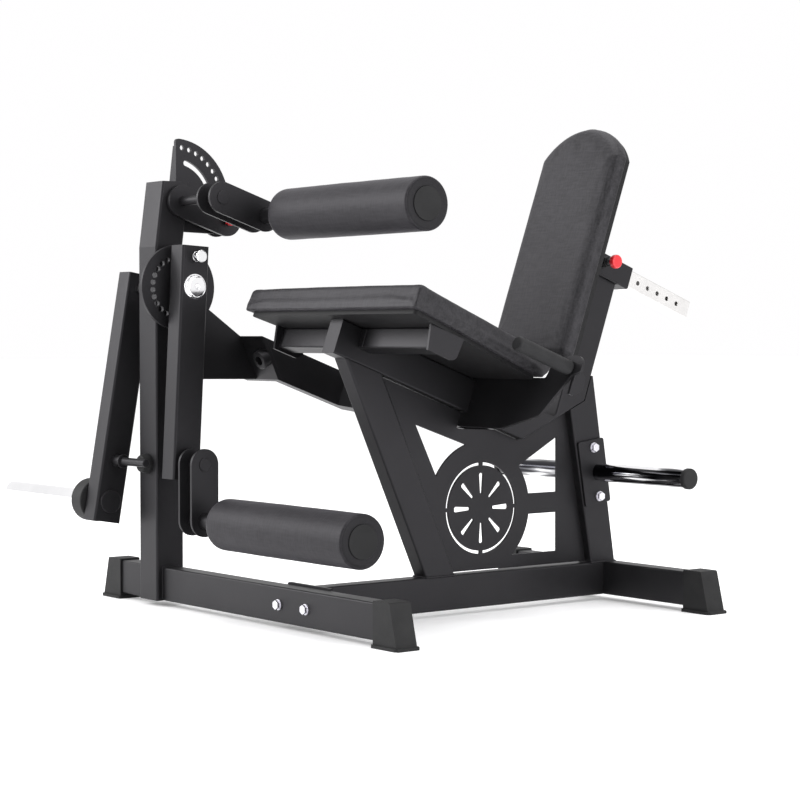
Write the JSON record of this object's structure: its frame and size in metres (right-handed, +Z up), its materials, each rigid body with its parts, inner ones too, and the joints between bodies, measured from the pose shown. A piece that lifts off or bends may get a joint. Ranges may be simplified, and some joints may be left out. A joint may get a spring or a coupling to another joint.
{
  "type": "leg extension machine",
  "caption": "Plate-loaded leg extension machine with sloped seat, sliding back rest, thigh and ankle rollers, side weight arm, indexed lever and tubular frame.",
  "frame": {"origin": "bottom centre of the machine's box, on the floor", "axes": "+X towards the sitter's left, +Y from the rollers towards the back rest, +Z up"},
  "size_m": [1.355, 1.1648, 1.006],
  "materials": {
    "frame_paint": "satin charcoal powder coat",
    "pad_vinyl": "dark grey linen-grain vinyl",
    "roller_foam": "dark skinned foam",
    "black_rubber": "matt black rubber",
    "black_plastic": "matt black moulded plastic",
    "board_black": "black stained plywood",
    "chrome_plate": "bright chrome plate",
    "zinc_plate": "zinc plated fastener",
    "bearing_steel": "ground bearing steel",
    "red_plastic": "gloss red knob"
  },
  "bodies": {
    "frame": {"front_cross_beam": "frame_paint", "rear_cross_beam": "frame_paint", "base_beam": "frame_paint", "base_flange": "frame_paint", "base_bolts": "zinc_plate", "front_feet": "black_rubber", "rear_feet": "black_rubber", "main_post": "frame_paint", "bearing_housing": "frame_paint", "main_bearings": "bearing_steel", "arm_box": "frame_paint", "arm_end_plate": "frame_paint", "arm_side_tube": "frame_paint", "arm_inner_tube": "frame_paint", "front_seat_post": "frame_paint", "side_panel": "frame_paint", "rear_upright": "frame_paint", "seat_rail": "frame_paint", "back_post": "frame_paint", "seat_cross_bar": "frame_paint", "seat_board": "board_black", "seat_cushion": "pad_vinyl", "handle_wing_plate": "frame_paint", "handle_bars": "frame_paint", "handle_grips": "black_rubber", "back_sleeve": "frame_paint", "sleeve_pin_barrel": "black_plastic", "peg_brackets": "frame_paint", "peg_bolts": "zinc_plate", "storage_pegs": "chrome_plate", "peg_caps": "black_plastic", "quadrant_plate": "frame_paint", "stop_bumper": "black_rubber"},
    "swing": {"main_shaft": "bearing_steel", "index_disc": "frame_paint", "weight_arm": "frame_paint", "stop_rod": "frame_paint", "weight_sleeve": "chrome_plate", "sleeve_collar": "black_rubber"},
    "lever": {"lever_tube": "frame_paint", "pivot_cap": "chrome_plate"},
    "lever_pull": {"lever_pin": "chrome_plate"},
    "ankle_link": {"ankle_link_plates": "frame_paint", "ankle_link_bolt": "frame_paint", "ankle_axle": "frame_paint"},
    "ankle_roller": {"ankle_roller_foam": "roller_foam", "ankle_roller_core": "black_plastic"},
    "thigh_arm": {"thigh_arm_plates": "frame_paint", "thigh_shaft": "frame_paint", "thigh_link_plates": "frame_paint", "thigh_axle": "frame_paint"},
    "thigh_pull": {"thigh_pin": "red_plastic"},
    "thigh_roller": {"thigh_roller_foam": "roller_foam", "thigh_roller_core": "black_plastic"},
    "back_rest": {"slide_tube": "chrome_plate", "slide_tube_cap": "chrome_plate", "pad_bracket": "frame_paint", "back_board": "board_black", "back_cushion": "pad_vinyl"},
    "back_pull": {"back_pin": "red_plastic"}
  },
  "joints": [
    {"name": "swing_turn", "type": "hinge", "parent": "frame", "child": "swing", "pos_m": [-0.161, -0.46097, 0.6655], "axis": [-1, 0, 0], "range_deg": [0, 80]},
    {"name": "lever_index", "type": "hinge", "parent": "swing", "child": "lever", "pos_m": [-0.054, -0.46097, 0.6655], "axis": [-1, 0, 0], "range_deg": [-14, 84]},
    {"name": "lever_pin_pull", "type": "slide", "parent": "lever", "child": "lever_pull", "axis": [1, 0, 0], "range_m": [0, 0.012], "stiffness_N_per_m": 600, "springref_m": -0.008},
    {"name": "ankle_link_swing", "type": "hinge", "parent": "lever", "child": "ankle_link", "pos_m": [-0.054, -0.47992, 0.304], "axis": [-1, 0, 0], "range_deg": [-35, 80]},
    {"name": "ankle_roller_spin", "type": "hinge", "parent": "ankle_link", "child": "ankle_roller", "pos_m": [0.3425, -0.47992, 0.189], "axis": [1, 0, 0], "continuous": true},
    {"name": "thigh_index", "type": "hinge", "parent": "frame", "child": "thigh_arm", "pos_m": [-0.1185, -0.43497, 0.8455], "axis": [1, 0, 0], "range_deg": [0, 85]},
    {"name": "thigh_pin_pull", "type": "slide", "parent": "thigh_arm", "child": "thigh_pull", "axis": [1, 0, 0], "range_m": [0, 0.012], "stiffness_N_per_m": 600, "springref_m": -0.008},
    {"name": "thigh_roller_spin", "type": "hinge", "parent": "thigh_arm", "child": "thigh_roller", "pos_m": [0.3425, -0.3294, 0.8112], "axis": [1, 0, 0], "continuous": true},
    {"name": "back_slide", "type": "slide", "parent": "frame", "child": "back_rest", "axis": [0, -0.9397, 0.342], "range_m": [0, 0.1566]},
    {"name": "back_pin_pull", "type": "slide", "parent": "frame", "child": "back_pull", "axis": [1, 0, 0], "range_m": [0, 0.012], "stiffness_N_per_m": 600, "springref_m": -0.008}
  ]
}
